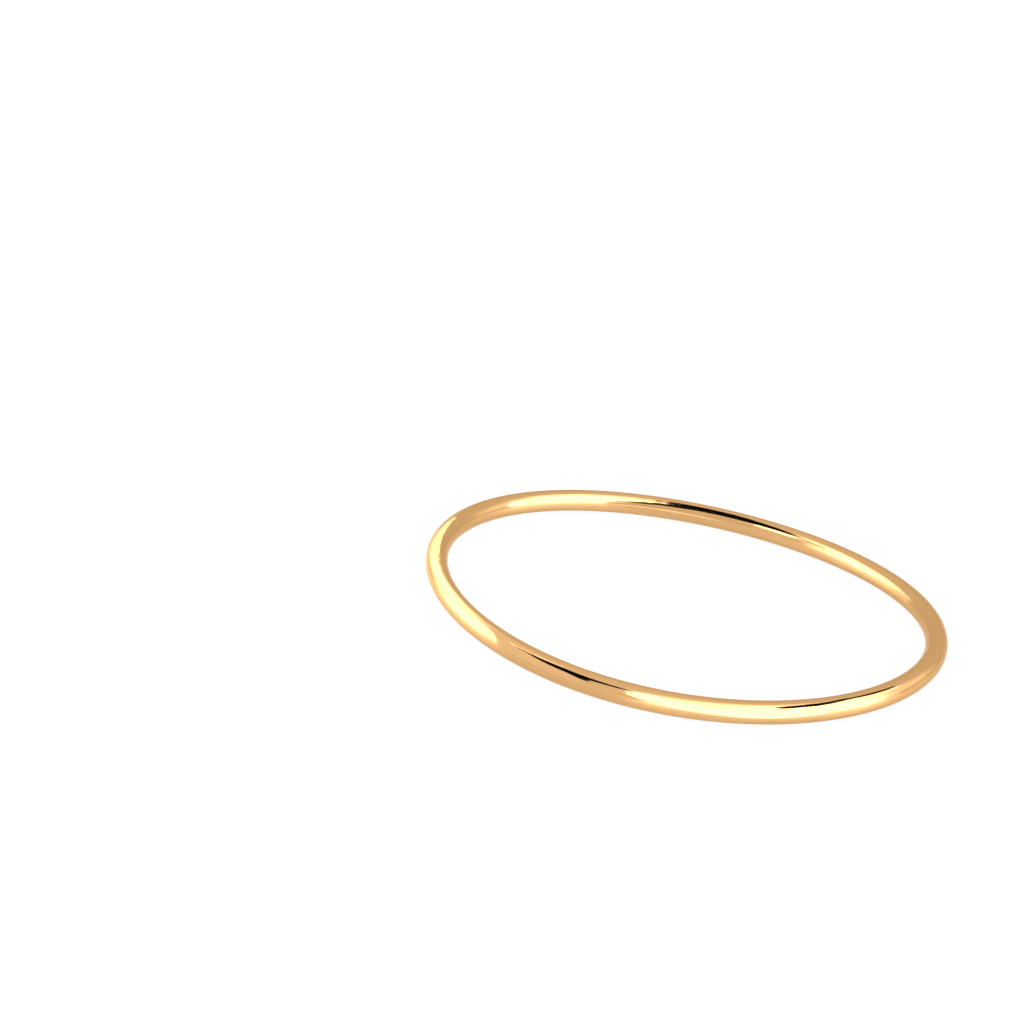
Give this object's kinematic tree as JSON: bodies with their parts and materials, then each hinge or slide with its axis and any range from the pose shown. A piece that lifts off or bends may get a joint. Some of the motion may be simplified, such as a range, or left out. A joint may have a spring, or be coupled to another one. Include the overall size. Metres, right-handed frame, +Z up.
{
  "type": "stackable ring",
  "caption": "Thin plain finger ring of round polished gold wire, sprung slightly out of flat, worn alone or stacked with others.",
  "frame": {"origin": "on the surface the ring lies on, under the middle of the finger hole", "axes": "+Z up along the finger hole; +X through the two high places of the sprung band, +Y through the two low places it rests on"},
  "size_m": [0.0188, 0.0188, 0.0011],
  "materials": {
    "yellow_gold": "mirror polished yellow gold"
  },
  "bodies": {
    "root": {"band": "yellow_gold"}
  },
  "joints": []
}
